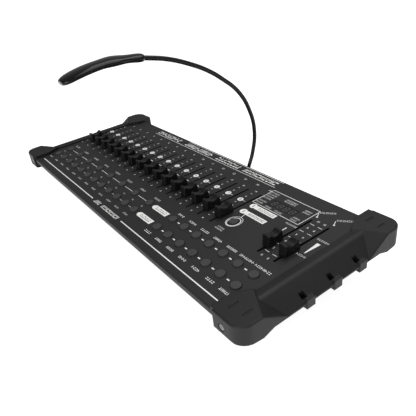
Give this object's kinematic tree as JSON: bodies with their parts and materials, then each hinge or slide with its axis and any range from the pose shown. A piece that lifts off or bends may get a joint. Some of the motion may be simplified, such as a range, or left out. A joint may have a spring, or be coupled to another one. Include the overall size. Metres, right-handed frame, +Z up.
{
  "type": "lighting control desk",
  "caption": "Sloping desktop lighting controller with slide faders, round keys, a small display, moulded end caps, rear sockets and a gooseneck lamp.",
  "frame": {"origin": "on the floor, under the middle of the area that the object covers", "axes": "+X along the desk to the operator's right, +Y from the operator to the rear sockets, +Z up"},
  "size_m": [0.474, 0.2282, 0.1916],
  "materials": {
    "panel_paint": "fine textured charcoal powder coat with white screen print",
    "case_paint": "textured black powder coat",
    "cap_plastic": "moulded black plastic with a soft sheen",
    "knob_plastic": "fine matt black",
    "key_rubber": "dark grey silicone, matt",
    "screw_steel": "zinc plated",
    "foot_rubber": "matt black",
    "board_laminate": "green solder mask",
    "track_steel": "tinned sheet",
    "switch_plastic": "moulded black",
    "led_plastic": "tinted clear",
    "window_acrylic": "smoked acrylic, polished",
    "module_plastic": "grey moulded",
    "socket_plastic": "moulded black",
    "socket_nickel": "nickel plated",
    "rocker_plastic": "polished black",
    "plug_plastic": "moulded black",
    "neck_coating": "black coated flexible steel",
    "lamp_gloss": "polished black",
    "lens_plastic": "frosted"
  },
  "bodies": {
    "root": {"audio_socket": "socket_nickel", "base_tray": "case_paint", "case_screws": "screw_steel", "circuit_board": "board_laminate", "display_module": "module_plastic", "display_window": "window_acrylic", "dmx_output_sockets": "socket_plastic", "fader_tracks": "track_steel", "indicator_leds": "led_plastic", "key_switches": "switch_plastic", "lamp_socket": "socket_nickel", "left_end_cap": "cap_plastic", "midi_socket": "socket_plastic", "power_inlet": "socket_plastic", "power_switch_housing": "switch_plastic", "right_end_cap": "cap_plastic", "rubber_feet": "foot_rubber", "top_panel": "panel_paint"},
    "lamp_plug_body": {"lamp_plug": "plug_plastic"},
    "neck_lower_body": {"lamp_neck_lower": "neck_coating"},
    "neck_upper_body": {"lamp_neck_upper": "neck_coating"},
    "lamp_head": {"lamp_shell": "lamp_gloss", "lamp_lens": "lens_plastic"},
    "channel_fader_01": {"channel_fader_01": "knob_plastic"},
    "channel_fader_02": {"channel_fader_02": "knob_plastic"},
    "channel_fader_03": {"channel_fader_03": "knob_plastic"},
    "channel_fader_04": {"channel_fader_04": "knob_plastic"},
    "channel_fader_05": {"channel_fader_05": "knob_plastic"},
    "channel_fader_06": {"channel_fader_06": "knob_plastic"},
    "channel_fader_07": {"channel_fader_07": "knob_plastic"},
    "channel_fader_08": {"channel_fader_08": "knob_plastic"},
    "channel_fader_09": {"channel_fader_09": "knob_plastic"},
    "channel_fader_10": {"channel_fader_10": "knob_plastic"},
    "channel_fader_11": {"channel_fader_11": "knob_plastic"},
    "channel_fader_12": {"channel_fader_12": "knob_plastic"},
    "channel_fader_13": {"channel_fader_13": "knob_plastic"},
    "channel_fader_14": {"channel_fader_14": "knob_plastic"},
    "channel_fader_15": {"channel_fader_15": "knob_plastic"},
    "channel_fader_16": {"channel_fader_16": "knob_plastic"},
    "speed_fader": {"speed_fader": "knob_plastic"},
    "fade_time_fader": {"fade_time_fader": "knob_plastic"},
    "power_rocker": {"power_rocker": "rocker_plastic"},
    "page_key": {"page_key": "key_rubber"},
    "program_key": {"program_key": "key_rubber"},
    "chase_key_1": {"chase_key_1": "key_rubber"},
    "midi_record_key": {"midi_record_key": "key_rubber"},
    "chase_key_2": {"chase_key_2": "key_rubber"},
    "mode_key": {"mode_key": "key_rubber"},
    "chase_key_3": {"chase_key_3": "key_rubber"},
    "music_key": {"music_key": "key_rubber"},
    "chase_key_4": {"chase_key_4": "key_rubber"},
    "step_key": {"step_key": "key_rubber"},
    "chase_key_5": {"chase_key_5": "key_rubber"},
    "blackout_key": {"blackout_key": "key_rubber"},
    "chase_key_6": {"chase_key_6": "key_rubber"},
    "tap_sync_key": {"tap_sync_key": "key_rubber"},
    "auto_key": {"auto_key": "key_rubber"},
    "scene_keys": {"scene_keys": "key_rubber"},
    "fixture_keys": {"fixture_keys": "key_rubber"}
  },
  "joints": [
    {"name": "lamp_turn", "type": "hinge", "parent": "root", "child": "lamp_plug_body", "pos_m": [0.0245, 0.09035, 0.037], "axis": [0, 1, 0], "range_deg": [-60, 60]},
    {"name": "neck_bend_root", "type": "hinge", "parent": "lamp_plug_body", "child": "neck_lower_body", "pos_m": [0.0245, 0.10515, 0.0464], "axis": [1, 0, 0], "range_deg": [-20, 12]},
    {"name": "neck_bend_middle", "type": "hinge", "parent": "neck_lower_body", "child": "neck_upper_body", "pos_m": [0.0245, 0.06235, 0.1578], "axis": [1, 0, 0], "range_deg": [-25, 12]},
    {"name": "lamp_tilt", "type": "hinge", "parent": "neck_upper_body", "child": "lamp_head", "pos_m": [0.0245, -0.03285, 0.1874], "axis": [1, 0, 0], "range_deg": [-30, 25]},
    {"name": "channel_fader_01_slide", "type": "slide", "parent": "root", "child": "channel_fader_01", "axis": [0, 0.9903, 0.1392], "range_m": [-0.0143, 0.0457]},
    {"name": "channel_fader_02_slide", "type": "slide", "parent": "root", "child": "channel_fader_02", "axis": [0, 0.9903, 0.1392], "range_m": [-0.0143, 0.0457]},
    {"name": "channel_fader_03_slide", "type": "slide", "parent": "root", "child": "channel_fader_03", "axis": [0, 0.9903, 0.1392], "range_m": [-0.0143, 0.0457]},
    {"name": "channel_fader_04_slide", "type": "slide", "parent": "root", "child": "channel_fader_04", "axis": [0, 0.9903, 0.1392], "range_m": [-0.0143, 0.0457]},
    {"name": "channel_fader_05_slide", "type": "slide", "parent": "root", "child": "channel_fader_05", "axis": [0, 0.9903, 0.1392], "range_m": [-0.0143, 0.0457]},
    {"name": "channel_fader_06_slide", "type": "slide", "parent": "root", "child": "channel_fader_06", "axis": [0, 0.9903, 0.1392], "range_m": [-0.0143, 0.0457]},
    {"name": "channel_fader_07_slide", "type": "slide", "parent": "root", "child": "channel_fader_07", "axis": [0, 0.9903, 0.1392], "range_m": [-0.0143, 0.0457]},
    {"name": "channel_fader_08_slide", "type": "slide", "parent": "root", "child": "channel_fader_08", "axis": [0, 0.9903, 0.1392], "range_m": [-0.0143, 0.0457]},
    {"name": "channel_fader_09_slide", "type": "slide", "parent": "root", "child": "channel_fader_09", "axis": [0, 0.9903, 0.1392], "range_m": [-0.0143, 0.0457]},
    {"name": "channel_fader_10_slide", "type": "slide", "parent": "root", "child": "channel_fader_10", "axis": [0, 0.9903, 0.1392], "range_m": [-0.0143, 0.0457]},
    {"name": "channel_fader_11_slide", "type": "slide", "parent": "root", "child": "channel_fader_11", "axis": [0, 0.9903, 0.1392], "range_m": [-0.0143, 0.0457]},
    {"name": "channel_fader_12_slide", "type": "slide", "parent": "root", "child": "channel_fader_12", "axis": [0, 0.9903, 0.1392], "range_m": [-0.0143, 0.0457]},
    {"name": "channel_fader_13_slide", "type": "slide", "parent": "root", "child": "channel_fader_13", "axis": [0, 0.9903, 0.1392], "range_m": [-0.0143, 0.0457]},
    {"name": "channel_fader_14_slide", "type": "slide", "parent": "root", "child": "channel_fader_14", "axis": [0, 0.9903, 0.1392], "range_m": [-0.0143, 0.0457]},
    {"name": "channel_fader_15_slide", "type": "slide", "parent": "root", "child": "channel_fader_15", "axis": [0, 0.9903, 0.1392], "range_m": [-0.0143, 0.0457]},
    {"name": "channel_fader_16_slide", "type": "slide", "parent": "root", "child": "channel_fader_16", "axis": [0, 0.9903, 0.1392], "range_m": [-0.0143, 0.0457]},
    {"name": "speed_fader_slide", "type": "slide", "parent": "root", "child": "speed_fader", "axis": [0, 0.9903, 0.1392], "range_m": [-0.0143, 0.0457]},
    {"name": "fade_time_fader_slide", "type": "slide", "parent": "root", "child": "fade_time_fader", "axis": [0, 0.9903, 0.1392], "range_m": [-0.0143, 0.0457]},
    {"name": "power_rocker_tilt", "type": "hinge", "parent": "root", "child": "power_rocker", "pos_m": [-0.146, 0.08635, 0.024], "axis": [1, 0, 0], "range_deg": [-14, 0]},
    {"name": "page_key_press", "type": "slide", "parent": "root", "child": "page_key", "axis": [0, 0.1392, -0.9903], "range_m": [0, 0.0008], "stiffness_N_per_m": 500},
    {"name": "program_key_press", "type": "slide", "parent": "root", "child": "program_key", "axis": [0, 0.1392, -0.9903], "range_m": [0, 0.0008], "stiffness_N_per_m": 500},
    {"name": "chase_key_1_press", "type": "slide", "parent": "root", "child": "chase_key_1", "axis": [0, 0.1392, -0.9903], "range_m": [0, 0.0008], "stiffness_N_per_m": 500},
    {"name": "midi_record_key_press", "type": "slide", "parent": "root", "child": "midi_record_key", "axis": [0, 0.1392, -0.9903], "range_m": [0, 0.0008], "stiffness_N_per_m": 500},
    {"name": "chase_key_2_press", "type": "slide", "parent": "root", "child": "chase_key_2", "axis": [0, 0.1392, -0.9903], "range_m": [0, 0.0008], "stiffness_N_per_m": 500},
    {"name": "mode_key_press", "type": "slide", "parent": "root", "child": "mode_key", "axis": [0, 0.1392, -0.9903], "range_m": [0, 0.0008], "stiffness_N_per_m": 500},
    {"name": "chase_key_3_press", "type": "slide", "parent": "root", "child": "chase_key_3", "axis": [0, 0.1392, -0.9903], "range_m": [0, 0.0008], "stiffness_N_per_m": 500},
    {"name": "music_key_press", "type": "slide", "parent": "root", "child": "music_key", "axis": [0, 0.1392, -0.9903], "range_m": [0, 0.0008], "stiffness_N_per_m": 500},
    {"name": "chase_key_4_press", "type": "slide", "parent": "root", "child": "chase_key_4", "axis": [0, 0.1392, -0.9903], "range_m": [0, 0.0008], "stiffness_N_per_m": 500},
    {"name": "step_key_press", "type": "slide", "parent": "root", "child": "step_key", "axis": [0, 0.1392, -0.9903], "range_m": [0, 0.0008], "stiffness_N_per_m": 500},
    {"name": "chase_key_5_press", "type": "slide", "parent": "root", "child": "chase_key_5", "axis": [0, 0.1392, -0.9903], "range_m": [0, 0.0008], "stiffness_N_per_m": 500},
    {"name": "blackout_key_press", "type": "slide", "parent": "root", "child": "blackout_key", "axis": [0, 0.1392, -0.9903], "range_m": [0, 0.0008], "stiffness_N_per_m": 500},
    {"name": "chase_key_6_press", "type": "slide", "parent": "root", "child": "chase_key_6", "axis": [0, 0.1392, -0.9903], "range_m": [0, 0.0008], "stiffness_N_per_m": 500},
    {"name": "tap_sync_key_press", "type": "slide", "parent": "root", "child": "tap_sync_key", "axis": [0, 0.1392, -0.9903], "range_m": [0, 0.0008], "stiffness_N_per_m": 500},
    {"name": "auto_key_press", "type": "slide", "parent": "root", "child": "auto_key", "axis": [0, 0.1392, -0.9903], "range_m": [0, 0.0008], "stiffness_N_per_m": 500},
    {"name": "scene_keys_press", "type": "slide", "parent": "root", "child": "scene_keys", "axis": [0, 0.1392, -0.9903], "range_m": [0, 0.0008], "stiffness_N_per_m": 4000},
    {"name": "fixture_keys_press", "type": "slide", "parent": "root", "child": "fixture_keys", "axis": [0, 0.1392, -0.9903], "range_m": [0, 0.0008], "stiffness_N_per_m": 6000}
  ]
}
